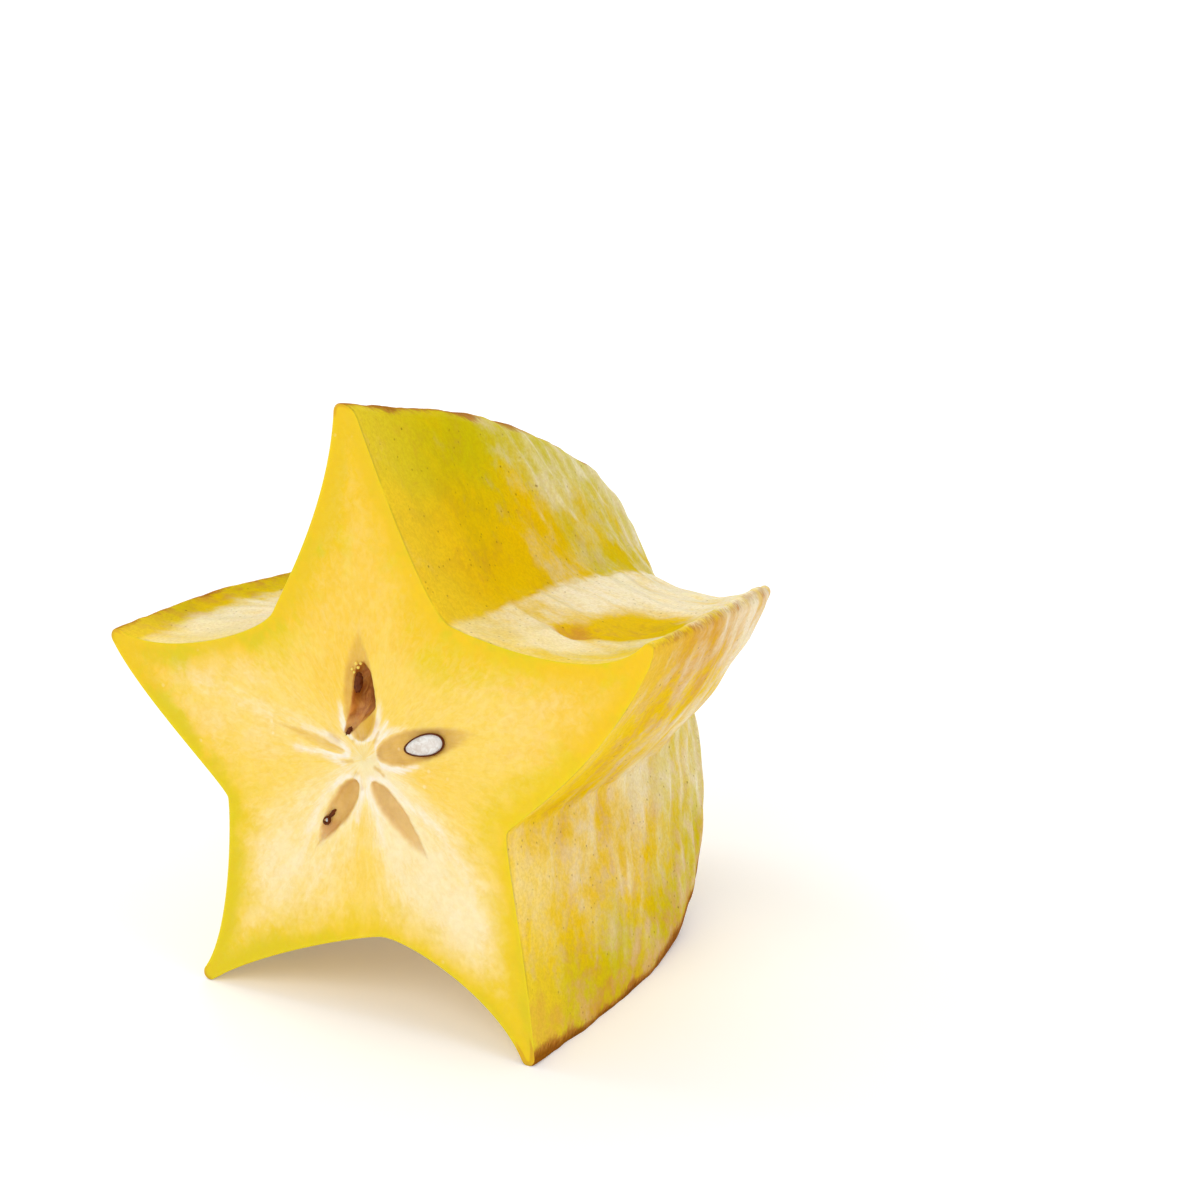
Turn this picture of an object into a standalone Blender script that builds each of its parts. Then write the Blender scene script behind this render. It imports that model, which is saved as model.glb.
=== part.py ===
"""Half a star fruit, cut across and lying on two of its five ribs, with three seeds that the cut lays bare.

Run with: blender --background --python part.py
Units are metres. +Z is up and the cut face looks along -Y. The origin is on the surface that the fruit lies
on, under the middle of its bounding box.
"""

import math
from collections import namedtuple

import bmesh
import bpy
from mathutils import Matrix, Vector
from mathutils.geometry import interpolate_bezier

MM = 0.001

# Driving dimensions of the fruit
LENGTH = 64.3 * MM  # from the cut to the blossom end
CREST_WIDTH = 2.6 * MM  # across a rib's rounded edge, at the cut
FACE_LEAN = math.radians(6.5)  # the cut face leans back
AXIS_RISE = math.radians(3.5)  # the fruit's axis, away from square to the cut, upwards
AXIS_SWING = math.radians(1.0)  # and to the left
REST_FLAT = 1.0 * MM  # depth pressed flat where a rib's edge carries the fruit
BLOSSOM_SCAR = 1.3 * MM  # radius of the nub at the blossom end
FLANK_STEPS = 6
CREST_STEPS = 3
RINGS = 20

# Ribs, clockwise from the top, seen from the cut. Angles are in degrees, anticlockwise from the right.
# A flank is a Bezier curve: its handle is a length at the rib, and its lean turns that away from straight in.
# Towards the blossom end a rib turns by its twist and shrinks with its fullness, where 2 is an ellipse.
# Swell makes it stand out half way along.
Rib = namedtuple("Rib", "angle reach left_handle left_lean right_handle right_lean twist swell fullness")
RIBS = (
    Rib(98, 39.1 * MM, 10.3 * MM, -1, 9.2 * MM, 35, 2.4, -0.06, 2.0),
    Rib(28, 40.2 * MM, 8.2 * MM, -48, 14.5 * MM, 34, -0.5, -0.03, 2.15),
    Rib(-51.5, 38.1 * MM, 10.1 * MM, 26, 6.7 * MM, -27, -1.8, 0.02, 2.2),
    Rib(-124.5, 36.1 * MM, 8.2 * MM, 14, 6.4 * MM, -9, 0.0, 0.04, 2.25),
    Rib(167.3, 36.8 * MM, 4.4 * MM, -7, 6.5 * MM, -18, -2.3, 0.05, 2.2),
)

# Furrows between the ribs, each clockwise of the rib that has its place in the list above.
# Rounding is the length of the Bezier handle along the bottom of the furrow, and skew turns it.
Furrow = namedtuple("Furrow", "angle depth rounding skew twist fullness")
FURROWS = (
    Furrow(58.5, 19.6 * MM, 2.9 * MM, 16, 2.0, 2.15),
    Furrow(-14, 19.5 * MM, 1.4 * MM, -3, -0.6, 2.4),
    Furrow(-81, 20.0 * MM, 3.3 * MM, 3, 0.0, 2.2),
    Furrow(-156.5, 20.0 * MM, 1.4 * MM, -4, 0.0, 2.2),
    Furrow(132.4, 19.5 * MM, 3.3 * MM, 24, 0.0, 2.2),
)

Chamber = namedtuple("Chamber", "angle distance length width depth")
CHAMBERS = (
    Chamber(97, 7.8 * MM, 11.0 * MM, 3.8 * MM, 3.4 * MM),
    Chamber(-118, 7.4 * MM, 8.0 * MM, 2.6 * MM, 1.6 * MM),
    Chamber(-50, 7.5 * MM, 8.6 * MM, 2.4 * MM, 0.7 * MM),
    Chamber(170, 6.6 * MM, 7.0 * MM, 1.2 * MM, 0.7 * MM),
)

# Seeds: their size along the radius, across it and through the face, and how far behind it their middle lies.
Seed = namedtuple("Seed", "name angle distance length width thickness inwards sliced")
SEEDS = (
    Seed("seed_right", 22, 8.3 * MM, 5.6 * MM, 2.9 * MM, 4.4 * MM, 0.3 * MM, True),
    Seed("seed_top", 101, 8.4 * MM, 2.8 * MM, 1.2 * MM, 1.0 * MM, 1.4 * MM, False),
    Seed("seed_lower_left", -120, 9.2 * MM, 2.0 * MM, 1.2 * MM, 0.8 * MM, 0.6 * MM, False),
)

SEED_PROUD = 0.15 * MM  # how far the sliced seed stands proud of the face
SEED_GAP = 0.3 * MM  # between the sliced seed and its socket
CHAMBER_RAISED = 0.1 * MM  # how far in front of the face the middle of a chamber is

LEAN = Matrix.Rotation(-FACE_LEAN, 3, "X")
SHARP = math.radians(40)


def clear_scene():
    for obj in list(bpy.data.objects):
        bpy.data.objects.remove(obj)


def make_material(name, colour, roughness):
    material = bpy.data.materials.new(name)
    material.use_nodes = True
    shader = material.node_tree.nodes["Principled BSDF"]
    shader.inputs["Base Color"].default_value = (*colour, 1)
    shader.inputs["Roughness"].default_value = roughness
    shader.inputs["Metallic"].default_value = 0
    return material


def on_face(angle, distance):
    """The point of the cut face at this angle in degrees and this distance from the core."""
    turn = math.radians(angle)
    return Vector((distance * math.cos(turn), 0, distance * math.sin(turn)))


def taper(share, fullness):
    """How much of its size at the cut the fruit keeps at this share of its length."""
    return max(0, 1 - share**fullness) ** (1 / fullness)


def crest_points(rib, share):
    """The rounded edge of a rib, clockwise, as an arc between its two shoulders."""
    size = taper(share, rib.fullness)
    angle = rib.angle + rib.twist * share
    reach = rib.reach * size * (1 + rib.swell * math.sin(math.pi * share))
    half = CREST_WIDTH / 2 * math.sqrt(size)
    outwards, leftwards = on_face(angle, 1), on_face(angle + 90, 1)
    turns = [math.pi * (0.5 - (step + 0.5) / CREST_STEPS) for step in range(CREST_STEPS)]
    arc = [(reach - half * (1 - math.cos(turn)), half * math.sin(turn)) for turn in turns]
    return [outwards * far + leftwards * aside for far, aside in arc]


def furrow_point(furrow, share):
    return on_face(furrow.angle + furrow.twist * share, furrow.depth * taper(share, furrow.fullness))


def flank_points(furrow, rib, share, side):
    """From a furrow's bottom to the rib's shoulder. Side is 1 on the rib's left and -1 on its right."""
    size = taper(share, rib.fullness)
    bottom = furrow_point(furrow, share)
    shoulder = crest_points(rib, share)[0 if side > 0 else -1]
    handle, lean = (rib.left_handle, rib.left_lean) if side > 0 else (rib.right_handle, rib.right_lean)
    across = furrow.angle + furrow.twist * share - 90 * side + furrow.skew
    along_bottom = on_face(across, furrow.rounding * size)
    into_flesh = on_face(rib.angle + rib.twist * share + 180 - side * lean, handle * size)
    return interpolate_bezier(bottom, bottom + along_bottom, shoulder + into_flesh, shoulder, FLANK_STEPS + 1)


def star_ring(share):
    """The outline across the fruit at this share of its length, clockwise."""
    points = []
    for number, rib in enumerate(RIBS):
        points += flank_points(FURROWS[number - 1], rib, share, 1)[:-1]
        points += crest_points(rib, share)
        points += flank_points(FURROWS[number], rib, share, -1)[-2:0:-1]
    along = Vector((-math.tan(AXIS_SWING), 1, math.tan(AXIS_RISE))).normalized() * LENGTH * share
    return [point + along for point in points]


def extrude_to(bm, ring, places):
    """Extrudes a closed ring and returns the new one, in the same order, with its points at places."""
    edges = [bm.edges.get((point, ring[number - 1])) for number, point in enumerate(ring)]
    made = set(bmesh.ops.extrude_edge_only(bm, edges=edges)["geom"])
    links = [[edge.other_vert(point) for edge in point.link_edges] for point in ring]
    extruded = [next(other for other in others if other in made) for others in links]
    for point, place in zip(extruded, places):
        point.co = place
    return extruded


def slice_off(bm, point, normal):
    """Removes what lies beyond the plane and closes the body with flat faces there."""
    everything = bm.verts[:] + bm.edges[:] + bm.faces[:]
    cut = bmesh.ops.bisect_plane(
        bm, geom=everything, dist=0.01 * MM, plane_co=point, plane_no=normal, clear_outer=True
    )
    rims = [item for item in cut["geom_cut"] if isinstance(item, bmesh.types.BMEdge)]
    bmesh.ops.holes_fill(bm, edges=rims, sides=0)


def fruit_mesh():
    """The fruit, leaning as it lies, with its core at the origin, and the height of what it lies on."""
    outline = star_ring(0)
    bm = bmesh.new()
    ring = bmesh.ops.create_circle(bm, segments=len(outline), radius=LENGTH)["verts"]
    for point, place in zip(ring, outline):
        point.co = place
    bmesh.ops.edgeloop_fill(bm, edges=bm.edges[:])
    for step in range(1, RINGS):
        ring = extrude_to(bm, ring, star_ring(math.sin(0.5 * math.pi * step / RINGS)))
    tip = sum((point.co for point in ring), Vector()) / len(ring)
    nub = Vector((0, BLOSSOM_SCAR, 0))
    rim = [tip + (point.co - tip).normalized() * BLOSSOM_SCAR + nub / 2 for point in ring]
    ring = extrude_to(bm, ring, rim)
    ring = extrude_to(bm, ring, [point.co + nub / 2 for point in ring])
    bmesh.ops.pointmerge(bm, verts=ring, merge_co=tip + nub)
    bmesh.ops.recalc_face_normals(bm, faces=bm.faces)
    bmesh.ops.rotate(bm, cent=(0, 0, 0), matrix=LEAN, verts=bm.verts)
    surface = min(point.co.z for point in bm.verts) + REST_FLAT
    slice_off(bm, (0, 0, surface), (0, 0, -1))
    return bm, surface


def new_object(name, bm, material, parent=None):
    mesh = bpy.data.meshes.new(name)
    bm.to_mesh(mesh)
    bm.free()
    mesh.materials.append(material)
    mesh.shade_smooth()
    mesh.set_sharp_from_angle(angle=SHARP)
    obj = bpy.data.objects.new(name, mesh)
    bpy.context.scene.collection.objects.link(obj)
    obj.parent = parent
    return obj


def egg(name, angle, distance, size, inwards, material, parent, sliced=False):
    """A seed or a hollow. Its size is along the radius, across it and through the face."""
    bm = bmesh.new()
    bmesh.ops.create_uvsphere(bm, u_segments=16, v_segments=10, radius=0.5)
    bmesh.ops.scale(bm, vec=size, verts=bm.verts)
    # Z, the way through the face, turns to Y, and X, the long way, turns to the radius.
    bmesh.ops.rotate(bm, cent=(0, 0, 0), matrix=Matrix.Rotation(math.radians(90), 3, "X"), verts=bm.verts)
    bmesh.ops.rotate(bm, cent=(0, 0, 0), matrix=Matrix.Rotation(-math.radians(angle), 3, "Y"), verts=bm.verts)
    bmesh.ops.translate(bm, vec=on_face(angle, distance) + Vector((0, inwards, 0)), verts=bm.verts)
    if sliced:
        slice_off(bm, (0, -SEED_PROUD, 0), (0, -1, 0))
    bmesh.ops.rotate(bm, cent=(0, 0, 0), matrix=LEAN, verts=bm.verts)
    return new_object(name, bm, material, parent)


def hollow_out(body, cutter):
    """Cuts the closed shape out of the body, and leaves the cutter out of the part."""
    cutter.hide_render = True
    cutter.display_type = "WIRE"
    cut = body.modifiers.new(cutter.name, "BOOLEAN")
    cut.operation = "DIFFERENCE"
    cut.solver = "EXACT"
    cut.object = cutter


def build():
    clear_scene()
    skin = make_material("skin", (0.82, 0.68, 0.05), 0.38)
    kernel = make_material("seed_kernel", (0.86, 0.84, 0.78), 0.3)
    husk = make_material("seed_husk", (0.16, 0.06, 0.02), 0.35)

    pose = bpy.data.objects.new("resting_place", None)
    bpy.context.scene.collection.objects.link(pose)
    bm, surface = fruit_mesh()
    fruit = new_object("fruit_half", bm, skin, pose)
    for number, chamber in enumerate(CHAMBERS):
        size = (chamber.length, chamber.width, 2 * chamber.depth)
        place = (chamber.angle, chamber.distance)
        hollow_out(fruit, egg(f"chamber_{number}", *place, size, -CHAMBER_RAISED, skin, pose))
    for seed in SEEDS:
        place = (seed.angle, seed.distance)
        size = Vector((seed.length, seed.width, seed.thickness))
        egg(seed.name, *place, size, seed.inwards, kernel if seed.sliced else husk, pose, seed.sliced)
        if seed.sliced:
            roomy = size + Vector((2, 2, 2)) * SEED_GAP
            hollow_out(fruit, egg(f"{seed.name}_socket", *place, roomy, seed.inwards, skin, pose))
    corners = [Vector(corner) for corner in fruit.bound_box]
    middle = (corners[0] + corners[6]) / 2
    pose.location = (-middle.x, -middle.y, -surface)


build()
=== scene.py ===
"""The looks of half a star fruit: its waxy ribbed skin, and its wet cut face with chambers, fibres and seeds.

Lengths are in metres in the model and in millimetres in the tables and attributes below.
"""
import math
from collections import namedtuple

import bmesh
import bpy
from mathutils import Matrix, Vector, kdtree, noise
from mathutils.geometry import interpolate_bezier, intersect_point_line


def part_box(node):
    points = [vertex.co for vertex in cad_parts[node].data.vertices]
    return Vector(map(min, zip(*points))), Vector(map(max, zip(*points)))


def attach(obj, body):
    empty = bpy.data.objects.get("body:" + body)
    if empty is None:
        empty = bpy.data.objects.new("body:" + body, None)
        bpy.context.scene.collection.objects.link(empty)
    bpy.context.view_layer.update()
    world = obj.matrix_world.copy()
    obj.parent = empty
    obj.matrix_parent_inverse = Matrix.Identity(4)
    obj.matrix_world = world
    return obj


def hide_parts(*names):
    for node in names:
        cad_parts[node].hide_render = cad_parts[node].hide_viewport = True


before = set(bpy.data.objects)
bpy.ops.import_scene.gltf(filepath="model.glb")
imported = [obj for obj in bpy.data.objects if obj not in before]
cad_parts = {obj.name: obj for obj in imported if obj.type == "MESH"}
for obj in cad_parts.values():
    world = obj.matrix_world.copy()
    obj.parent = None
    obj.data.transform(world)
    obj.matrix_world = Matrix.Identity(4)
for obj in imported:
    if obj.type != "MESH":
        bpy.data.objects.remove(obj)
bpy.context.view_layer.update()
LOW, HIGH = (Vector(corner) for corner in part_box("fruit_half"))

MM = 0.001

# Shape of the fruit: ribs clockwise from the top, and the furrow clockwise of each.
LENGTH = 64.3
FACE_LEAN = math.radians(6.5)
AXIS_RISE = math.radians(3.5)
AXIS_SWING = math.radians(1.0)
# A side of a rib is its rounding, its handle and its lean. The hook is how far the tip of the rib's cut end
# is bent round, in degrees.
Side = namedtuple("Side", "radius handle lean")
Rib = namedtuple("Rib", "angle reach left right twist swell fullness hook")
RIBS = (
    Rib(98, 39.1, Side(0.85, 10.3, 8), Side(2.3, 9.5, 19), 2.4, -0.06, 2.0, 7.5),
    Rib(27.5, 40.2, Side(0.85, 8.0, -22), Side(0.85, 14.5, 42), 0.0, -0.03, 2.15, 16),
    Rib(-51.5, 38.1, Side(0.85, 10.1, 30), Side(0.85, 7.5, -8), -4.0, 0.045, 2.35, -11),
    Rib(-124.5, 36.1, Side(0.85, 8.2, 20), Side(0.85, 6.4, 0), 0.0, 0.04, 2.25, -5.5),
    Rib(167.3, 36.6, Side(0.85, 7.0, 42), Side(0.85, 6.5, -8), -2.3, 0.05, 2.2, -9),
)
Furrow = namedtuple("Furrow", "angle depth rounding skew twist fullness")
FURROWS = (
    Furrow(58.5, 19.6, 2.9, 16, 2.0, 2.15),
    Furrow(-14, 19.5, 1.4, -3, -15.0, 2.45),
    Furrow(-81, 20.0, 3.3, 3, 0.0, 2.2),
    Furrow(-156.5, 20.0, 1.4, -4, 0.0, 2.2),
    Furrow(132.4, 19.5, 3.3, 24, 0.0, 2.2),
)
TOP, RIGHT, LOWER_RIGHT, LOWER_LEFT, LEFT = range(5)
# The seam of the coordinates around the fruit lies in the furrow underneath it.
AROUND = (LOWER_LEFT, LEFT, TOP, RIGHT, LOWER_RIGHT)

FLANK_STEPS = 30
CREST_STEPS = 9
SKIN_ROWS = 186
CORE = LOW + Vector((36.59, 3.38, 29.72)) * MM
LEAN = Matrix.Rotation(-FACE_LEAN, 3, "X")

# How the skin looks on each side of a rib, 1 its left and -1 its right: how much painted sheen (the white
# surroundings painted in as pale cream) it has in the furrow and near the crest, how much more painted sheen
# it gets towards the blossom end, and how green and how ochre it is.
Tone = namedtuple("Tone", "low high back green ochre")
TONES = {
    (TOP, -1): Tone(-0.3, -0.1, 0.75, 0.85, -0.1),
    (RIGHT, 1): Tone(0.8, 0.55, 0.35, 0.45, 0.1),
    (RIGHT, -1): Tone(0.2, 0.3, 0.45, 0.1, 1.0),
    (LOWER_RIGHT, 1): Tone(0.5, 0.12, 0.15, 0.85, 0.6),
    (LEFT, -1): Tone(1.5, 1.0, -0.9, 0.6, 0.3),
}
PLAIN_TONE = Tone(0.3, 0.2, 0.2, 0.5, 0.3)
# Dents on the upper side of the right rib: where they are from the cut and from the crest, their half sizes,
# how deep they go, how much painted highlight they add (less where negative), and how much more ochre than
# their surroundings they are.
Dent = namedtuple("Dent", "along across size depth pale ochre")
DENTS = (
    Dent(8.0, 18.2, (5.0, 3.2), -0.3, 1.8, 0.0),
    Dent(13.0, 17.0, (4.4, 3.4), 1.2, -1.8, 1.5),
    Dent(20.0, 11.5, (12.0, 8.0), 0.8, -2.0, 0.1),
    Dent(8.0, 9.0, (4.0, 3.0), 0.3, -0.4, 0.0),
    Dent(29.0, 15.0, (6.0, 4.0), 0.4, -0.4, 0.0),
)

# Seed chambers on the cut face: their inner and outer ends from the core, greatest width and depth, how blunt
# the inner end is (smaller is blunter) and how brown the membrane.
Chamber = namedtuple("Chamber", "inner outer width depth blunt brown")
CHAMBERS = (
    Chamber((-0.6, 1.9), (-1.8, 14.2), 4.6, 0.3, 0.5, 0.75),
    Chamber((1.6, 0.7), (14.4, 5.7), 4.0, 0.2, 0.45, 0.85),
    Chamber((1.1, -2.4), (9.2, -9.8), 2.9, 0.4, 0.45, 0.85),
    Chamber((-0.9, -2.6), (-5.9, -11.2), 3.2, 0.5, 0.45, 0.95),
    Chamber((-2.6, 0.3), (-12.5, 2.0), 1.5, 0.25, 0.5, 0.3),
)
# The hole in the membrane of the top chamber, and the deepest place inside it.
OPENING = (
    (-2.9, 2.4), (-2.6, 4.2), (-2.35, 6.2), (-2.25, 8.7), (-1.9, 10.2), (-0.9, 10.7), (0.2, 9.9),
    (0.8, 7.9), (1.1, 6.1), (0.5, 5.2), (-0.6, 4.1), (-1.6, 3.0), (-2.1, 2.3),
)
DEEPEST = (0.3, 6.7)
# Strands in the flesh: the points they run through, their half width and how clearly they show. These are the
# ochre veins in the pith and the pulp left inside two chambers, and then the white strands.
Strand = namedtuple("Strand", "points width strength")
VEINS = (
    Strand(((-1.7, 1.7), (-1.2, 2.3)), 0.22, 0.5),
    Strand(((1.2, 2.0), (1.7, 3.4)), 0.22, 0.6),
    Strand(((-2.9, -0.9), (-1.7, -0.6)), 0.2, 0.5),
    Strand(((1.5, -0.7), (2.5, -1.3)), 0.22, 0.7),
    Strand(((-0.9, -1.8), (-1.3, -2.3)), 0.2, 0.4),
    Strand(((-0.25, -2.6), (-0.1, -3.4)), 0.2, 0.4),
    Strand(((0.1, 3.6), (0.45, 4.3)), 0.95, 1.0),
    Strand(((-4.6, 1.9), (-3.6, 1.5)), 0.4, 0.6),
)
STRANDS = (
    Strand(((1.5, 2.8), (2.8, 4.6)), 0.4, 0.8),
    Strand(((-2.6, 0.9), (-5.3, 1.5), (-8.4, 2.1)), 0.5, 0.8),
    Strand(((-2.8, -1.0), (-5.9, -0.4), (-9.1, -0.3)), 0.5, 0.7),
    Strand(
        ((-1.8, -2.2), (-4.6, -4.1), (-5.6, -5.8), (-7.7, -11.9), (-11.9, -18.7), (-15.8, -24.8)), 0.7, 0.55
    ),
    Strand(((-0.4, -3.2), (-0.6, -7.1)), 0.45, 0.8),
    Strand(((1.0, -3.0), (2.5, -7.3), (3.0, -9.2)), 0.45, 0.6),
    Strand(((1.9, -1.7), (5.4, -3.6), (10.0, -5.8), (16.0, -12.7), (20.2, -18.6)), 0.7, 0.6),
    Strand(((3.1, -0.4), (6.7, 0.4)), 0.5, 0.7),
    Strand(((1.7, 2.1), (3.6, 4.0)), 0.4, 0.8),
    Strand(((-9.5, 2.2), (-18.5, 3.9), (-25.7, 5.5)), 1.6, 0.3),
)
# How pale the flesh is along the middle of each arm.
ARM_PALENESS = (0.1, 0.28, 0.95, 0.72, 0.38)
# The brown scar along each rib's crest: how far it reaches down the flanks and how strongly it shows.
Scar = namedtuple("Scar", "width strength")
SCARS = (Scar(2.6, 1.1), Scar(1.4, 0.5), Scar(3.4, 1.9), Scar(1.8, 0.9), Scar(1.8, 0.9))
# Crumbs of pulp beside the top seed: where they are on the cut face, and their size.
CRUMBS = ((-1.8, 10.4, 0.4), (-2.3, 9.7, 0.34), (-1.5, 10.0, 0.36), (-1.2, 10.5, 0.3), (-2.0, 9.4, 0.3))
# Where the seeds lie: the angle round the core and the distance from it.
RIGHT_SEED = (21, 8.3)
TOP_SEED = (101, 8.4)
SMALL_SEED = (-121, 9.3)


def smooth(low, high, value):
    """0 below low, 1 above high and an S between them. Low may be the greater."""
    share = min(1, max(0, (value - low) / (high - low)))
    return share * share * (3 - 2 * share)


def on_face(angle, distance):
    turn = math.radians(angle)
    return Vector((distance * math.cos(turn), 0, distance * math.sin(turn)))


def taper(share, fullness):
    return max(0, 1 - share**fullness) ** (1 / fullness)


def crest_points(rib, share):
    """The rounded edge of a rib, clockwise, from where its left flank meets it to where its right does."""
    size = taper(share, rib.fullness)
    angle = rib.angle + rib.twist * share
    reach = rib.reach * size * (1 + rib.swell * math.sin(math.pi * share))
    blunt = math.sqrt(size) * (1 + 0.8 * math.sin(math.pi * share))
    outwards, leftwards = on_face(angle, 1), on_face(angle + 90, 1)
    left, right = min(100, 90 - rib.left.lean), min(100, 90 - rib.right.lean)
    points = []
    for step in range(CREST_STEPS):
        turn = math.radians(left - (left + right) * step / (CREST_STEPS - 1))
        radius = blunt * (rib.left.radius if turn > 0 else rib.right.radius)
        out = reach - radius * (1 - math.cos(turn))
        points.append(outwards * out + leftwards * radius * math.sin(turn))
    return points


def flank_points(furrow, rib, share, side):
    """From a furrow's bottom to the rib's shoulder. Side is 1 on the rib's left and -1 on its right."""
    size = taper(share, rib.fullness)
    turned = furrow.angle + furrow.twist * share
    bottom = on_face(turned, furrow.depth * taper(share, furrow.fullness))
    shoulder = crest_points(rib, share)[0 if side > 0 else -1]
    _, handle, lean = rib.left if side > 0 else rib.right
    along_bottom = on_face(turned - 90 * side + furrow.skew, furrow.rounding * size)
    into_flesh = on_face(rib.angle + rib.twist * share + 180 - side * lean, handle * size)
    return interpolate_bezier(bottom, bottom + along_bottom, shoulder + into_flesh, shoulder, FLANK_STEPS + 1)


def star_ring(share):
    """The outline across the fruit at this share of its length, clockwise, in millimetres from the core."""
    points = []
    for number in AROUND:
        rib = RIBS[number]
        points += flank_points(FURROWS[number - 1], rib, share, 1)[:-1]
        points += crest_points(rib, share)
        points += flank_points(FURROWS[number], rib, share, -1)[-2:0:-1]
    along = Vector((-math.tan(AXIS_SWING), 1, math.tan(AXIS_RISE))).normalized() * LENGTH * share
    return [point + along for point in points]


def settle(point):
    """A point from the upright fruit, in millimetres from its core, to its place in the frame."""
    return CORE + LEAN @ Vector(point) * MM


# What each column of the outline is: its rib, its side of the crest, how far it is from the crest at the cut,
# how far from the crest the furrow is, and how far round the fruit it is.
Column = namedtuple("Column", "rib side across width around")


def outline_columns():
    outline = star_ring(0)
    steps = [(point - outline[place - 1]).length for place, point in enumerate(outline)]
    around = [sum(steps[1 : place + 1]) for place in range(len(outline))] + [sum(steps)]
    per_rib = 2 * FLANK_STEPS - 1 + CREST_STEPS
    crest = FLANK_STEPS + CREST_STEPS // 2
    columns = []
    for place, distance in enumerate(around[:-1]):
        block, inside = divmod(place, per_rib)
        middle = around[block * per_rib + crest]
        side = -1 if inside > crest else 1
        end = around[(block + 1) * per_rib] if side < 0 else around[block * per_rib]
        columns.append(Column(AROUND[block], side, abs(distance - middle), abs(end - middle), distance))
    return columns


def dented(dent, column, along):
    """A rounded dimple, 1 in its middle and 0 outside."""
    long, wide = dent.size
    return smooth(1, 0, math.hypot((along - dent.along) / long, (column.across - dent.across) / wide))


def fold(column, along):
    """Soft folds that run down a flank, leaning back from the crest: 1 on a ridge, 0 away from it."""
    lean = 0.32 + 0.1 * noise.noise(Vector((along / 16, column.rib * 7, 2)))
    slant = along - lean * column.across
    seed = column.rib * 17 + column.side * 5
    wave = noise.noise(Vector((slant / 3.2, column.across / 15, seed)))
    return smooth(-0.1, 0.5, wave)


def skin_relief(column, along):
    """How far the skin lies below the plain shape here, in millimetres."""
    seed = column.rib * 17 + column.side * 5
    broad = noise.noise(Vector((along / 10, column.around / 8, 3)))
    lumps = noise.noise(Vector((along / 4.5, column.around / 5, 11)))
    pinch = noise.noise(Vector(((along - 0.5 * column.across) / 1.9, column.across / 4, seed + 40)))
    depth = 0.45 + 0.3 * broad + 0.16 * lumps
    depth -= 0.28 * fold(column, along) * smooth(0, 3, column.across)
    depth += 0.14 * pinch * smooth(4.5, 1, column.across)
    if (column.rib, column.side) == (RIGHT, 1):
        depth += sum(dent.depth * dented(dent, column, along) for dent in DENTS)
    return max(0, depth) * smooth(0.3, 6, along)


def skin_look(column, along):
    """How much painted sheen, how green and how ochre the skin is here."""
    tone = TONES.get((column.rib, column.side), PLAIN_TONE)
    share = min(1, column.across / column.width)
    high = smooth(0.75, 0.1, share)
    drift = noise.noise(Vector((along / 7, column.around / 6, 21)))
    # pale is painted sheen: the reflection of the white surroundings painted in as a paler colour.
    pale = tone.low + (tone.high - tone.low) * high + tone.back * smooth(8, 42, along) + 0.3 * drift
    green = tone.green * max(high, 0.7 * smooth(20, 42, along))
    green += 0.3 * noise.noise(Vector((along / 8, column.around / 8, 31)))
    ochre = tone.ochre * (0.3 + 0.7 * smooth(0.5, 0.08, share))
    ochre += 0.3 * noise.noise(Vector((along / 5, column.around / 5, 41)))
    if column.rib == LEFT:
        pale += 0.6 * noise.noise(Vector((along / 12, column.across / 1.4, 51)))
        pale -= 1.1 * smooth(6, 2, column.across)
    elif (column.rib, column.side) == (RIGHT, 1):
        for dent in DENTS:
            amount = dented(dent, column, along)
            # A dent's pale adds painted highlight, or takes it away where negative.
            pale += dent.pale * amount
            ochre += dent.ochre * amount
    # The ridges of the folds get extra painted highlight.
    return pale + 0.2 * fold(column, along), green, ochre


def crest_scar(column, along):
    """How strongly the brown scar along a rib's edge shows here."""
    scar = SCARS[column.rib]
    patchy = 0.5 + 0.5 * noise.noise(Vector((along / 5, column.rib * 9, 4)))
    wide = scar.width * (0.5 + patchy)
    return scar.strength * (0.6 + 0.6 * patchy) * smooth(wide, 0.15 * wide, column.across)


def chamber_depth(chamber, x, y):
    """How many millimetres inside a lens-shaped chamber a point is, under 0 outside, and how far along."""
    inner = Vector(chamber.inner)
    axis = Vector(chamber.outer) - inner
    length = axis.length
    axis.normalize()
    spot = Vector((x, y)) - inner
    share = spot.dot(axis) / length
    aside = abs(spot.x * axis.y - spot.y * axis.x)
    if not 0 < share < 1:
        beyond = max(-share, share - 1) * length
        return -math.hypot(beyond, aside), share
    fat = share**chamber.blunt * (1 - share) ** 0.85
    peak = chamber.blunt / (chamber.blunt + 0.85)
    return chamber.width / 2 * fat / (peak**chamber.blunt * (1 - peak) ** 0.85) - aside, share


def distance_to_line(points, spot):
    nearest = []
    for start, end in zip(points, points[1:]):
        close, share = intersect_point_line(spot, start, end)
        nearest.append((spot - Vector(start if share < 0 else end if share > 1 else close)).length)
    return min(nearest)


def opening_depth(x, y):
    """How many millimetres inside the hole of the top chamber the point is, less than 0 outside."""
    spot = Vector((x, y))
    distance = distance_to_line([Vector(point) for point in (*OPENING, OPENING[0])], spot)
    crossings = 0
    for (x1, y1), (x2, y2) in zip(OPENING, (*OPENING[1:], OPENING[0])):
        if (y1 > y) != (y2 > y) and x < x1 + (x2 - x1) * (y - y1) / (y2 - y1):
            crossings += 1
    return distance if crossings % 2 else -distance


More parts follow.
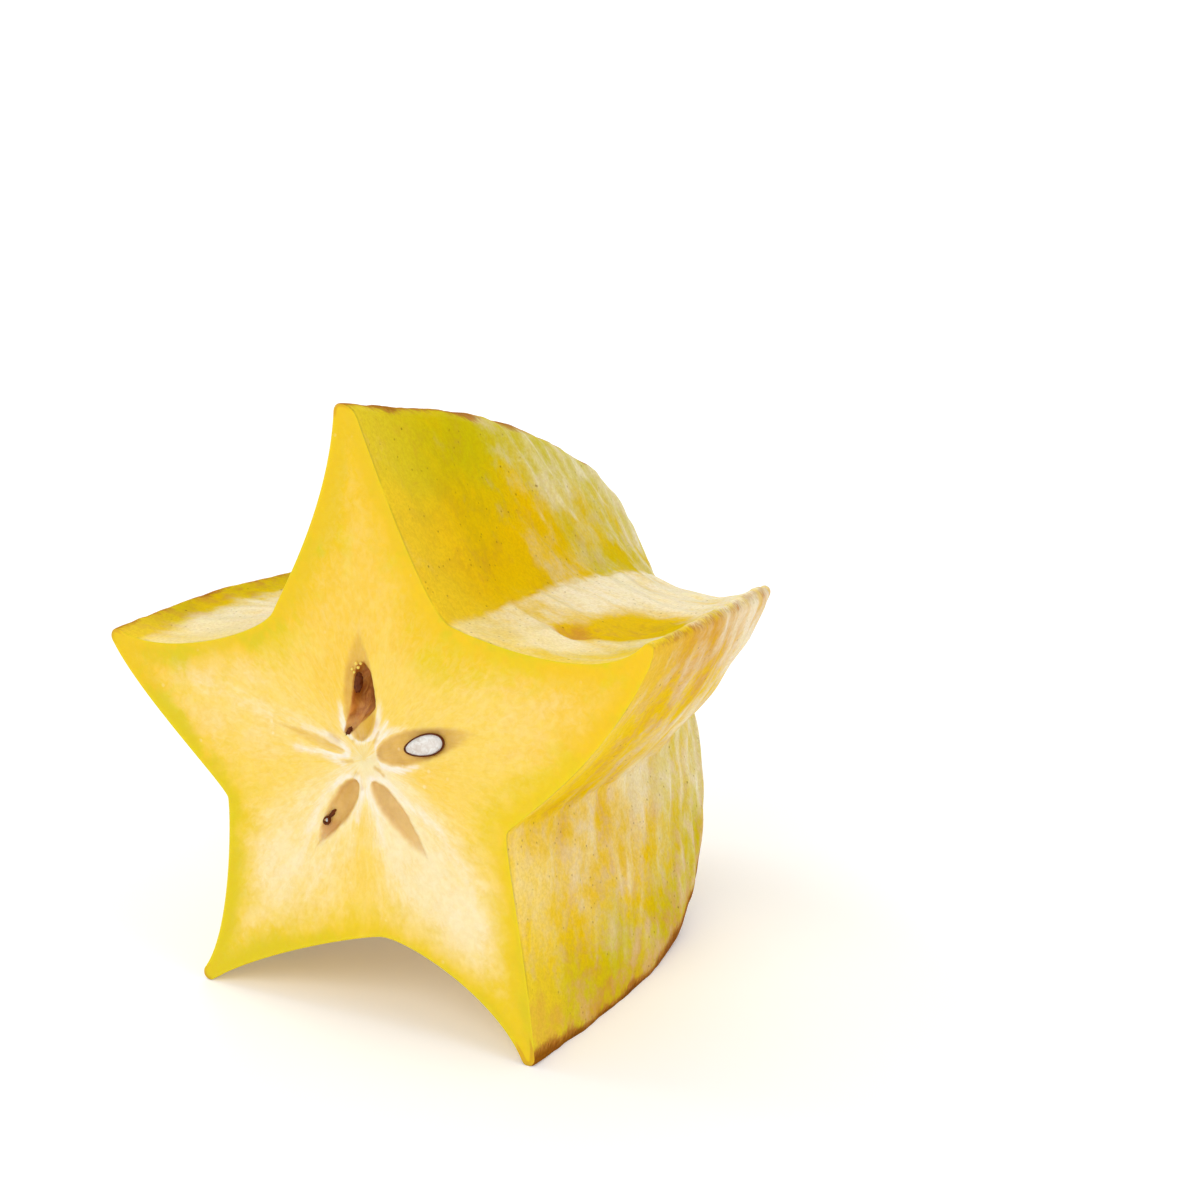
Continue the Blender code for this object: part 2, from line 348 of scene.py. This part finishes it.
def face_look(x, y):
    """The cut face here: how far it lies below its plane in millimetres, how brown a chamber's membrane is,
    how open the chamber, how white the fibres, how ochre the veins, and how pale the flesh."""
    radius = math.hypot(x, y)
    spot = Vector((x, y))
    depth = 0.05 + 0.05 * noise.noise(Vector((x / 3, y / 3, 5)))
    membrane = fibre = opened = 0
    ragged = 0.12 * noise.noise(Vector((x / 0.8, y / 0.8, 6)))
    for chamber in CHAMBERS:
        inside, share = chamber_depth(chamber, x, y)
        inside += ragged
        depth += chamber.depth * smooth(0, 0.7, inside)
        brown = chamber.brown * smooth(-0.15, 0.5, inside) * smooth(1.15, 0.6, share)
        membrane = max(membrane, brown)
        halo = smooth(-1.2, -0.4, inside) * smooth(0.2, -0.15, inside)
        fibre = max(fibre, halo * smooth(9, 4, radius) * smooth(1.1, 2.2, radius))
    for strand in STRANDS:
        if radius < 13 or len(strand.points) > 3 or strand.width > 1:
            line = [Vector(point) for point in strand.points]
            thick = strand.width * (1 + 0.4 * noise.noise(Vector((x, y, 9))))
            faded = 1 if strand.width > 1 else smooth(26, 8, radius)
            thread = strand.strength * faded * smooth(1.9 * thick, 0, distance_to_line(line, spot))
            fibre = max(fibre, thread)
    fibre *= 1 - 0.9 * membrane
    vein = 0
    if radius < 6:
        for strand in VEINS:
            line = [Vector(point) for point in strand.points]
            near = smooth(1.7 * strand.width, 0, distance_to_line(line, spot) + 2 * ragged)
            vein = max(vein, strand.strength * near)
    if radius < 12 and y > 1:
        inside = opening_depth(x, y) + 0.6 * ragged
        opened = smooth(-0.08, 0.1, inside)
        floor = 0.5 + 0.3 * noise.noise(Vector((x / 1.2, y / 2.2, 2)))
        floor += 2.0 * smooth(3.6, 0.3, (spot - Vector(DEEPEST)).length) + 0.5 * smooth(7, 9, y)
        depth += floor * smooth(-0.05, 0.5, inside)
    pale = 0.55 * smooth(9, 2, radius)
    for rib, paleness in zip(RIBS, ARM_PALENESS):
        middle = math.radians(rib.angle)
        out = x * math.cos(middle) + y * math.sin(middle)
        aside = abs(y * math.cos(middle) - x * math.sin(middle))
        if out > 0:
            wide = 3 + 0.33 * min(out, 16)
            pale = max(pale, paleness * smooth(1.5 * wide, 0.1 * wide, aside) * smooth(34, 20, out))
    return depth, membrane, opened, fibre, vein, pale


def extrude_to(bm, ring, places):
    """Extrudes a closed ring and returns the new one, in the same order, with its points at places."""
    edges = [bm.edges.get((point, ring[number - 1])) for number, point in enumerate(ring)]
    made = set(bmesh.ops.extrude_edge_only(bm, edges=edges)["geom"])
    links = [[edge.other_vert(point) for edge in point.link_edges] for point in ring]
    extruded = [next(other for other in others if other in made) for others in links]
    for point, place in zip(extruded, places):
        point.co = place
    return extruded


def bent_inwards(place, rib, shrink):
    """Where a point of the outline comes to as the outline shrinks towards the core and its hooks unbend."""
    far = place.length
    unbend = rib.hook * (max(0, far * shrink - 20) - max(0, far - 20)) / 19
    return Matrix.Rotation(-math.radians(unbend), 3, "Y") @ place * shrink


ATTRIBUTES = (
    "along", "across", "around", "scar", "pale", "green", "ochre",
    "face_x", "face_y", "rim", "membrane", "opened", "fibre", "vein",
)


def fruit_mesh():
    columns = outline_columns()
    outline = star_ring(0)
    ribs = [RIBS[column.rib] for column in columns]
    bm = bmesh.new()
    layers = {name: bm.verts.layers.float.new(name) for name in ATTRIBUTES}

    def mark(point, **values):
        for name, value in values.items():
            point[layers[name]] = value

    def mark_skin(ring, along, scar=None):
        looks = [Vector(skin_look(column, along)) for column in columns]
        for place, (point, column) in enumerate(zip(ring, columns)):
            nearby = [looks[(place + step) % len(looks)] for step in range(-2, 3)]
            pale, green, ochre = sum(nearby, Vector((0, 0, 0))) / len(nearby)
            mark(point, along=along, across=column.across, around=column.around)
            mark(point, pale=pale, green=green, ochre=ochre)
            mark(point, scar=crest_scar(column, along) if scar is None else scar)

    edge = bmesh.ops.create_circle(bm, segments=len(outline), radius=1)["verts"]
    for point, place, rib in zip(edge, outline, ribs):
        point.co = bent_inwards(place, rib, 0.998) + Vector((0, 0.04, 0))
    mark_skin(edge, 0)

    # The skin, ring by ring, to the blossom end
    ring = edge
    shares = [0.0022, 0.006] + [math.sin(0.5 * math.pi * row / SKIN_ROWS) for row in range(1, SKIN_ROWS)]
    rows = []
    for share in shares:
        ring = extrude_to(bm, ring, star_ring(share))
        rows.append((ring, share * LENGTH))
        mark_skin(ring, share * LENGTH)
    tip = sum((point.co for point in ring), Vector()) / len(ring)
    for out, back in ((1.5, 0.0), (1.35, 0.35), (1.1, 0.75), (0.6, 1.05)):
        rim = [tip + (point.co - tip).normalized() * out + Vector((0, back, 0)) for point in ring]
        ring = extrude_to(bm, ring, rim)
        mark_skin(ring, LENGTH, 1.3)
    bmesh.ops.pointmerge(bm, verts=ring, merge_co=tip + Vector((0, 1.0, 0)))
    skin_faces = set(bm.faces)

    # The cut face, ring by ring, to the core
    ring = edge
    face_rings = []
    shrinks = [0.994, 0.984] + [0.965 - 0.61 * step / 21 for step in range(22)]
    for shrink in shrinks + [0.35 - 0.335 * step / 60 for step in range(61)]:
        ring = extrude_to(bm, ring, [bent_inwards(place, rib, shrink) for place, rib in zip(outline, ribs)])
        face_rings.append(ring)
    bmesh.ops.pointmerge(bm, verts=ring, merge_co=(0, 0, 0))
    face_rings[-1] = [point for point in bm.verts if point.co.length < 0.001]

    bmesh.ops.recalc_face_normals(bm, faces=bm.faces[:])
    bm.normal_update()
    for ring, along in rows:
        for point, column in zip(ring, columns):
            point.co -= point.normal * skin_relief(column, along)

    rim = kdtree.KDTree(len(outline) * 4)
    for number, place in enumerate(outline):
        for quarter in range(4):
            rim.insert(place.lerp(outline[number - 1], quarter / 4), number * 4 + quarter)
    rim.balance()
    for ring in face_rings:
        for point, column in zip(ring, columns):
            mark(point, scar=crest_scar(column, 0))
    for point in (point for ring in face_rings for point in ring):
        x, y = point.co.x, point.co.z
        from_rim = rim.find(point.co)[2]
        depth, membrane, opened, fibre, vein, pale = face_look(x, y)
        mark(point, face_x=x, face_y=y, rim=from_rim, membrane=membrane, opened=opened)
        mark(point, fibre=fibre, vein=vein, pale=pale)
        point.co.y += depth * smooth(0.05, 1.0, from_rim)

    for face in bm.faces:
        face.smooth = True
        face.material_index = 0 if face in skin_faces else 1
    for point in bm.verts:
        place = settle(point.co)
        point.co = [min(high, max(low, value)) for value, low, high in zip(place, LOW, HIGH)]
    return bm


def make_piece(name, bm, finishes, replaces=()):
    mesh = bpy.data.meshes.new(name)
    bm.to_mesh(mesh)
    bm.free()
    for finish in finishes:
        mesh.materials.append(finish)
    piece = bpy.data.objects.new(name, mesh)
    bpy.context.scene.collection.objects.link(piece)
    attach(piece, "root")
    for node in replaces:
        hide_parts(node)
    return piece


def srgb(red, green, blue):
    """A colour from its usual 0 to 255 numbers."""
    parts = [value / 255 for value in (red, green, blue)]
    return (*[part / 12.92 if part < 0.04045 else ((part + 0.055) / 1.055) ** 2.4 for part in parts], 1)


class Level:
    """A socket of a finish's nodes. Arithmetic on it adds Math nodes."""

    def __init__(self, finish, socket):
        self.finish = finish
        self.socket = socket

    def calculate(self, operation, first, second=0.0):
        return self.finish.node("ShaderNodeMath", {"operation": operation}, {0: first, 1: second})

    def __add__(self, other):
        return self.calculate("ADD", self, other)

    def __sub__(self, other):
        return self.calculate("SUBTRACT", self, other)

    def __rsub__(self, other):
        return self.calculate("SUBTRACT", other, self)

    def __mul__(self, other):
        return self.calculate("MULTIPLY", self, other)

    def __truediv__(self, other):
        return self.calculate("DIVIDE", self, other)

    def __pow__(self, other):
        return self.calculate("POWER", self, other)

    def __rtruediv__(self, other):
        return self.calculate("DIVIDE", other, self)

    __radd__ = __add__
    __rmul__ = __mul__


class Finish:
    """A material and its nodes."""

    def __init__(self, name, **inputs):
        self.material = bpy.data.materials.new(name)
        self.material.use_nodes = True
        self.tree = self.material.node_tree
        self.shader = self.tree.nodes["Principled BSDF"]
        self.wear(**inputs)

    def node(self, kind, settings, inputs, output=0):
        """Adds a node, sets it, fills its sockets with values or links, and gives one of its outputs."""
        made = self.tree.nodes.new(kind)
        for name, value in settings.items():
            setattr(made, name, value)
        for name, value in inputs.items():
            self.feed(made.inputs[name], value)
        return Level(self, made.outputs[output])

    def feed(self, socket, value):
        if isinstance(value, Level):
            self.tree.links.new(value.socket, socket)
        else:
            socket.default_value = value

    def attribute(self, name):
        return self.node("ShaderNodeAttribute", {"attribute_name": name}, {}, "Fac")

    def place(self):
        return self.node("ShaderNodeTexCoord", {}, {}, "Object")

    def point(self, x, y, z=0.0):
        return self.node("ShaderNodeCombineXYZ", {}, {0: x, 1: y, 2: z})

    def noise(self, vector, scale, detail=3.0, roughness=0.5, distortion=0.0):
        sockets = {"Vector": vector, "Scale": scale, "Detail": detail, "Roughness": roughness}
        return self.node("ShaderNodeTexNoise", {}, {**sockets, "Distortion": distortion}, "Fac")

    def cells(self, vector, scale):
        return self.node("ShaderNodeTexVoronoi", {}, {"Vector": vector, "Scale": scale}, "Distance")

    def step(self, value, low, high):
        sockets = {"Value": value, "From Min": low, "From Max": high}
        return self.node("ShaderNodeMapRange", {"interpolation_type": "SMOOTHSTEP"}, sockets)

    def mix(self, amount, first, second):
        """One colour turning into another."""
        return self.node("ShaderNodeMix", {"data_type": "RGBA"}, {0: amount, 6: first, 7: second}, 2)

    def bump(self, height, strength, distance):
        sockets = {"Height": height, "Strength": strength, "Distance": distance}
        return self.node("ShaderNodeBump", {}, sockets)

    def wear(self, **inputs):
        """Fills the shader's sockets, named in small letters with underscores."""
        sockets = {socket.name.lower().replace(" ", "_"): socket for socket in self.shader.inputs}
        for name, value in inputs.items():
            self.feed(sockets[name], value)
        return self.material


def away_from(x, y, place):
    """How far a point of the cut face is from a place on it."""
    aside, above = x - place[0], y - place[1]
    return (aside * aside + above * above) ** 0.5


def skin_finish():
    """Waxy skin: yellow to olive, ochre where it ripened most, brown and dry along the edges of the ribs,
    with the white surroundings painted in as pale sheen and highlight streaks.
    """
    skin = Finish(
        "ripe_skin",
        subsurface_weight=0.3,
        subsurface_radius=(1.0, 0.7, 0.12),
        subsurface_scale=0.002,
        specular_ior_level=0.0,
        coat_roughness=0.2,
    )
    place = skin.place()
    along, across, around = (skin.attribute(name) for name in ("along", "across", "around"))
    slant = along - across * 0.32
    broad = skin.step(skin.noise(skin.point(slant / 4.2, around / 14), 1.0, 2.0, 0.5, 0.8), 0.32, 0.7)
    fine = skin.step(skin.noise(skin.point(slant / 1.1, around / 6), 1.0, 3.0, 0.55, 0.6), 0.3, 0.7)
    clouds = skin.step(skin.noise(place, 130, 4.0, 0.6), 0.32, 0.68)
    blotches = skin.step(skin.noise(place, 420, 4.0, 0.65), 0.34, 0.66)
    grain = skin.step(skin.noise(place, 2400, 3.0, 0.7), 0.36, 0.66)

    thin = skin.step(along, 15, 0)
    green = skin.step(skin.attribute("green") + (clouds - 0.5) * 0.25 + (blotches - 0.5) * 0.15, 0.1, 0.85)
    colour = skin.mix(green, srgb(232, 190, 2), srgb(204, 188, 8))
    ochre = skin.step(skin.attribute("ochre") + (blotches - 0.5) * 0.6 + (fine - 0.5) * 0.15, 0.1, 0.95)
    colour = skin.mix(ochre * 0.75, colour, srgb(208, 142, 58))
    rough = skin.step(clouds * 0.8 + blotches * 0.8, 0.7, 1.4)
    colour = skin.mix(rough * 0.18, colour, srgb(192, 132, 24))
    # Painted sheen and painted highlight streaks: the reflection of the white surroundings painted in as pale
    # cream. The same mask also raises the coat's real gloss.
    pale = skin.attribute("pale")
    painted_sheen = skin.step(pale + (clouds - 0.5) * 0.35 + (broad - 0.5) * 0.22 + (blotches - 0.5) * 0.3, 0.1, 1.3)
    highlight_streaks = skin.step(broad * 0.8 + fine * 0.2, 0.6, 0.95)
    highlight_streaks = highlight_streaks * skin.step(pale + (clouds - 0.5) * 0.3, 0.25, 0.85)
    painted_sheen_and_gloss = painted_sheen * 0.76 + highlight_streaks * (1 - painted_sheen) * (skin.step(along, 14, 36) * 0.6 + 0.25)
    colour = skin.mix(painted_sheen_and_gloss, colour, srgb(244, 234, 198))
    # Painted light: the skin is painted lighter yellow within 15 mm of the cut, as if lit through the thin
    # rim.
    colour = skin.mix(thin * 0.45, colour, srgb(250, 216, 64))
    colour = skin.mix(grain * 0.2, colour, srgb(176, 130, 16))

    specks = skin.step(skin.cells(place, 900), 0.16, 0.07) * skin.step(clouds + blotches * 0.5, 0.6, 0.8)
    pores = skin.step(skin.cells(place, 330), 0.07, 0.03)
    pore = specks * 0.7 + pores
    colour = skin.mix(pore * 0.6, colour, srgb(120, 74, 10))

    scar = skin.attribute("scar")
    ridges = skin.point((along - across * 0.6) / 0.4, around / 1.4)
    crust = skin.step(skin.noise(ridges, 1.0, 4.0, 0.65), 0.3, 0.7)
    dry = skin.step(scar + (crust - 0.5) * 0.5 + (blotches - 0.5) * 0.2, 0.3, 0.85)
    bark = skin.mix(crust * skin.step(scar, 1.5, 0.7), srgb(132, 68, 14), srgb(206, 140, 56))
    colour = skin.mix(dry * 0.92, colour, bark)
    cut = skin.step(along, 0.45, 0.1) * skin.step(clouds, 0.2, 0.8)
    colour = skin.mix(cut * 0.4, colour, srgb(160, 136, 40))

    roughness = 0.38 + (fine - 0.5) * 0.06 + (grain - 0.5) * 0.06 + dry * 0.25 - painted_sheen_and_gloss * 0.06
    height = broad * 0.14 + fine * 0.05 + blotches * 0.06 + grain * 0.03 + crust * dry * 0.2 - pore * 0.15
    return skin.wear(
        base_color=colour,
        roughness=roughness,
        coat_weight=(0.03 + painted_sheen_and_gloss * 0.45) * (1 - dry * 0.8),
        normal=skin.bump(height, 0.6, 0.0008),
    )


def flesh_finish():
    """Wet cut flesh: saturated yellow near the skin, cream in the middle and below, with pale fibres, painted
    glints and painted shade deep in the open chamber.
    """
    flesh = Finish(
        "cut_flesh",
        subsurface_weight=0.4,
        subsurface_radius=(1.0, 0.75, 0.25),
        subsurface_scale=0.002,
        specular_ior_level=0.2,
        coat_roughness=0.3,
    )
    place = flesh.place()
    x, y, rim = (flesh.attribute(name) for name in ("face_x", "face_y", "rim"))
    pale = flesh.attribute("pale")
    radius = (x * x + y * y + 0.01) ** 0.5
    rays = flesh.point(x / radius * 2.6, y / radius * 2.6, radius / 12)
    soft_rays = flesh.step(flesh.noise(rays, 4.0, 3.0, 0.55, 0.4), 0.32, 0.68)
    fine_rays = flesh.step(flesh.noise(rays, 11.0, 4.0, 0.65, 0.6), 0.32, 0.68)
    clouds = flesh.step(flesh.noise(place, 110, 4.0, 0.6), 0.32, 0.68)
    blotches = flesh.step(flesh.noise(place, 360, 4.0, 0.6), 0.34, 0.66)
    cells = flesh.step(flesh.noise(place, 1300, 3.0, 0.65), 0.36, 0.64)

    tip = flesh.step(radius, 20, 36)
    shaded = flesh.step(y, 6, 24) * flesh.step(x + y * 0.1, 1, -4)
    warm = flesh.step(away_from(x, y, (9, 14)), 10, 2)
    ragged = (clouds - 0.5) * 2.6 + (soft_rays - 0.5) * 1.6 + (blotches - 0.5) * 0.8
    inward = rim + ragged - tip * 1.6 - shaded * 3.0 - warm * 3.5
    colour = flesh.mix(flesh.step(inward, 0.0, 6), srgb(234, 202, 8), srgb(247, 211, 90))
    lime = rim + (blotches - 0.5) * 1.0 + (clouds - 0.5) * 1.4 + x * 0.05 - tip * 1.2 - shaded * 2.3
    colour = flesh.mix(flesh.step(lime, 1.9, -0.6) * 0.5, colour, srgb(204, 196, 8))
    ripe = flesh.step(clouds + (soft_rays - 0.5) * 0.4 + y * 0.03, 0.5, 1.1) * flesh.step(pale, 0.6, 0.1)
    colour = flesh.mix(ripe * 0.5, colour, srgb(244, 194, 20))
    drift = (soft_rays - 0.5) * 0.2 + (fine_rays - 0.5) * 0.08 + (clouds - 0.5) * 0.18
    cream = flesh.step(pale + drift, 0.1, 1.05) * flesh.step(rim + (clouds - 0.5) * 1.5, 0.2, 6)
    colour = flesh.mix(cream, colour, srgb(249, 232, 186))
    colour = flesh.mix(fine_rays * flesh.step(rim, 0.5, 4) * 0.1, colour, srgb(255, 240, 196))
    colour = flesh.mix((1 - fine_rays) * (1 - blotches) * 0.14, colour, srgb(232, 182, 40))

    fibre = flesh.attribute("fibre")
    strands = flesh.step(fibre * (0.55 + soft_rays * 0.35 + fine_rays * 0.25), 0.05, 1.0)
    colour = flesh.mix(strands * 0.95, colour, srgb(249, 239, 220))
    membrane = flesh.attribute("membrane")
    tan = flesh.mix(blotches, srgb(204, 150, 64), srgb(222, 174, 88))
    by_right_seed = flesh.step(away_from(x, y, (9.6, 3.9)), 4.5, 1.0)
    tan = flesh.mix(by_right_seed * 0.45, tan, srgb(184, 126, 52))
    by_small_seed = flesh.step(away_from(x, y, (-4.6, -8.8)) + (blotches - 0.5) * 0.8, 1.9, 0.4)
    tan = flesh.mix(by_small_seed * 0.8, tan, srgb(190, 108, 32))
    colour = flesh.mix(membrane * 0.9, colour, tan)
    colour = flesh.mix(flesh.attribute("vein") * 0.8, colour, srgb(214, 164, 30))

    opened = flesh.attribute("opened")
    folds = flesh.step(flesh.noise(flesh.point(x / 0.9 - y * 0.25, y / 2.4), 1.0, 4.0, 0.6, 0.8), 0.32, 0.68)
    brown = flesh.mix(folds, srgb(168, 90, 20), srgb(214, 144, 60))
    # Darkest round the deepest place of the hole: painted shade.
    deep = flesh.step(away_from(x, y, (0.2, 6.6)) + (folds - 0.5) * 0.8, 1.7, 0.3)
    brown = flesh.mix(deep * 0.8, brown, srgb(122, 62, 12))
    brown = flesh.mix(flesh.step(y, 4.8, 3.4) * 0.7, brown, srgb(214, 162, 96))
    colour = flesh.mix(opened, colour, brown)
    # Tiny near-white flecks: painted glints on the wet cells.
    painted_glints = flesh.step(flesh.cells(place, 420), 0.13, 0.05) * flesh.step(clouds, 0.6, 0.9)
    colour = flesh.mix(painted_glints * 0.3, colour, srgb(255, 246, 220))
    colour = flesh.mix(cells * 0.1, colour, srgb(216, 176, 60))
    scar = flesh.attribute("scar") * flesh.step(rim, 0.8, 0.1)
    skinned = flesh.step(scar + (blotches - 0.5) * 0.4, 0.3, 0.9)
    colour = flesh.mix(skinned * 0.5, colour, srgb(196, 128, 24))

    height = cells * 0.1 + fine_rays * 0.06 + soft_rays * 0.06 + blotches * 0.1 + folds * opened * 0.25
    return flesh.wear(
        base_color=colour,
        roughness=0.46 + (cells - 0.5) * 0.12,
        coat_weight=0.06 + opened * 0.12 + membrane * 0.08,
        normal=flesh.bump(height, 0.5, 0.0005),
    )


def kernel_finish():
    kernel = Finish(
        "seed_kernel",
        subsurface_weight=0.6,
        subsurface_radius=(1.0, 0.9, 0.8),
        subsurface_scale=0.0015,
        roughness=0.28,
    )
    place = kernel.place()
    lines = kernel.noise(place, 1200, 4.0, 0.6, 1.0)
    colour = kernel.mix(kernel.step(lines, 0.3, 0.7), srgb(214, 202, 190), srgb(242, 238, 232))
    return kernel.wear(base_color=colour, normal=kernel.bump(lines, 0.3, 0.0002))


def husk_finish():
    husk = Finish("seed_husk", coat_roughness=0.2, coat_weight=0.08, specular_ior_level=0.1)
    place = husk.place()
    grain = husk.noise(place, 1500, 3.0, 0.6)
    colour = husk.mix(grain, srgb(50, 18, 4), srgb(120, 56, 14))
    return husk.wear(base_color=colour, roughness=0.4 + grain * 0.2, normal=husk.bump(grain, 0.3, 0.0002))


def seed_outline(angle, distance, length, width, swell=0.0, count=72):
    """The outline of a seed that is a little narrower towards the core, clockwise, in millimetres."""
    outwards, leftwards = on_face(angle, 1), on_face(angle + 90, 1)
    points = []
    for number in range(count):
        turn = -2 * math.pi * number / count
        far = math.cos(turn)
        narrow = 1 - 0.32 * (1 - far) / 2
        aside = (width / 2 + swell) * math.sin(turn) * narrow
        points.append(outwards * (distance + (length / 2 + swell) * far) + leftwards * aside)
    return points


def kernel_mesh(angle, distance, length, width):
    """A cut kernel, flat in its face with a rounded rim, and round behind it."""
    outline = seed_outline(angle, distance, length, width)
    centre = on_face(angle, distance)
    profile = [(0.35, -0.16), (0.7, -0.15), (0.9, -0.11), (0.97, -0.05), (1.0, 0.05), (0.95, 0.9), (0.7, 2.0)]
    bm = bmesh.new()
    ring = bmesh.ops.create_circle(bm, segments=len(outline), radius=1)["verts"]
    for point, place in zip(ring, outline):
        point.co = centre + (place - centre) * 0.05 + Vector((0, -0.16, 0))
    bmesh.ops.edgeloop_fill(bm, edges=bm.edges[:])
    for share, back in profile:
        middle = centre + Vector((0, back, 0))
        ring = extrude_to(bm, ring, [middle + (place - centre) * share for place in outline])
    last = [bm.edges.get((point, ring[number - 1])) for number, point in enumerate(ring)]
    bmesh.ops.edgeloop_fill(bm, edges=last)
    return seated(bm)


def coat_mesh(angle, distance, length, width, thick, sunk=0.0):
    """The cut edge of a seed's coat: a thin closed ring around its kernel."""
    bm = bmesh.new()
    turns = [2 * math.pi * number / 8 for number in range(9)]
    rings = []
    for turn in turns:
        outline = seed_outline(angle, distance, length, width, thick * math.cos(turn) / 2)
        wobble = [1 + 0.25 * noise.noise(point * 1.3) for point in outline]
        deep = [sunk - thick * 0.8 * math.sin(turn) * scale for scale in wobble]
        rings.append([point + Vector((0, back, 0)) for point, back in zip(outline, deep)])
    ring = bmesh.ops.create_circle(bm, segments=len(rings[0]), radius=1)["verts"]
    for point, place in zip(ring, rings[0]):
        point.co = place
    for places in rings[1:]:
        ring = extrude_to(bm, ring, places)
    bmesh.ops.remove_doubles(bm, verts=bm.verts[:], dist=0.001)
    return seated(bm)


def egg_mesh(angle, distance, size, inwards, turn=0.0, wrinkle=0.0):
    """A whole seed, with its long way along the radius unless it is turned."""
    bm = bmesh.new()
    bmesh.ops.create_uvsphere(bm, u_segments=40, v_segments=24, radius=0.5)
    for point in bm.verts:
        point.co *= 1 + wrinkle * noise.noise(point.co * 4)
    bmesh.ops.scale(bm, vec=size, verts=bm.verts)
    lying = Matrix.Rotation(-math.radians(angle + turn), 3, "Y") @ Matrix.Rotation(math.radians(90), 3, "X")
    bmesh.ops.rotate(bm, cent=(0, 0, 0), matrix=lying, verts=bm.verts)
    bmesh.ops.translate(bm, vec=on_face(angle, distance) + Vector((0, inwards, 0)), verts=bm.verts)
    return seated(bm)


def seated(bm):
    """The finished mesh, smooth, facing outwards and in its place in the frame."""
    bmesh.ops.recalc_face_normals(bm, faces=bm.faces[:])
    for face in bm.faces:
        face.smooth = True
    for point in bm.verts:
        point.co = settle(point.co)
    return bm


def crumb_mesh():
    """Yellow crumbs of pulp beside the seed of the top chamber."""
    bm = bmesh.new()
    for x, y, size in CRUMBS:
        at = Matrix.Translation((x, 0.25, y))
        bmesh.ops.create_icosphere(bm, subdivisions=3, radius=size / 2, matrix=at)
    return seated(bm)


def make_fruit():
    skin, flesh = skin_finish(), flesh_finish()
    kernel, husk = kernel_finish(), husk_finish()
    crumb = Finish("pulp_crumb", subsurface_weight=0.5, subsurface_scale=0.001, roughness=0.3)
    crumb.wear(base_color=srgb(240, 208, 96))
    make_piece("fruit", fruit_mesh(), [skin, flesh], ["fruit_half"])
    make_piece("right_kernel", kernel_mesh(*RIGHT_SEED, 5.1, 2.6), [kernel], ["seed_right"])
    make_piece("right_seed_coat", coat_mesh(*RIGHT_SEED, 5.25, 2.75, 0.22), [husk])
    top_seed = egg_mesh(*TOP_SEED, (2.3, 0.95, 0.9), 0.6, -17, 0.25)
    make_piece("top_seed", top_seed, [husk], ["seed_top"])
    make_piece("stalk", egg_mesh(131, 3.5, (1.3, 0.5, 0.5), 0.2, -75, 0.5), [husk])
    make_piece("crumbs", crumb_mesh(), [crumb.material])
    small_coat = coat_mesh(*SMALL_SEED, 0.85, 0.8, 0.3, 0.3)
    make_piece("small_seed_coat", small_coat, [husk], ["seed_lower_left"])
    make_piece("small_seed_tail", egg_mesh(-120.5, 8.3, (1.4, 0.45, 0.4), 0.45, -6, 0.3), [husk])
    make_piece("small_kernel", egg_mesh(*SMALL_SEED, (0.5, 0.45, 0.4), 0.4), [kernel])


def area_light(name, place, target, size, power, colour=(1, 1, 1)):
    light = bpy.data.lights.new(name, "AREA")
    light.shape = "DISK"
    light.size = size
    light.energy = power
    light.color = colour
    lamp = bpy.data.objects.new(name, light)
    lamp.location = place
    lamp.rotation_euler = (Vector(target) - Vector(place)).to_track_quat("-Z", "Y").to_euler()
    bpy.context.scene.collection.objects.link(lamp)


def make_stage():
    bm = bmesh.new()
    bmesh.ops.create_grid(bm, x_segments=1, y_segments=1, size=4)
    mesh = bpy.data.meshes.new("table_top")
    bm.to_mesh(mesh)
    bm.free()
    table = Finish("white_table", roughness=0.6, emission_color=(1, 1, 1, 1), emission_strength=0.17)
    mesh.materials.append(table.wear(base_color=(0.9, 0.9, 0.9, 1)))
    floor = bpy.data.objects.new("table_top", mesh)
    bpy.context.scene.collection.objects.link(floor)

    world = bpy.data.worlds.new("white_surroundings")
    world.use_nodes = True
    world.node_tree.nodes["Background"].inputs["Color"].default_value = (1, 1, 1, 1)
    world.node_tree.nodes["Background"].inputs["Strength"].default_value = 0.62
    bpy.context.scene.world = world
    bpy.context.scene.view_settings.view_transform = "Standard"
    area_light("softbox_front", (0.1, -0.8, 0.7), (0, 0, 0.03), 0.6, 3.1)
    area_light("softbox_right", (0.9, -0.1, 0.5), (0, 0, 0.03), 0.6, 2.1)
    area_light("softbox_back", (-0.35, 0.75, 0.42), (0, 0, 0.04), 0.7, 1.7)
    area_light("softbox_left", (-0.8, 0.1, 0.7), (0, 0, 0.03), 0.6, 2.6)


def make_camera():
    """A long lens, a little above the fruit and to the right of its cut face."""
    azimuth, elevation = math.radians(31.57), math.radians(18.0)
    level = math.cos(elevation)
    back = Vector((math.sin(azimuth) * level, -math.cos(azimuth) * level, math.sin(elevation)))
    camera = bpy.data.cameras.new("camera")
    camera.lens = 105
    camera.sensor_width = 36
    camera.clip_start = 0.01
    holder = bpy.data.objects.new("camera", camera)
    holder.location = CORE + Vector((30.3, 0, 23.45)) * MM + back * 0.3606
    holder.rotation_euler = back.to_track_quat("Z", "Y").to_euler()
    bpy.context.scene.collection.objects.link(holder)
    bpy.context.scene.camera = holder


make_fruit()
make_stage()
make_camera()
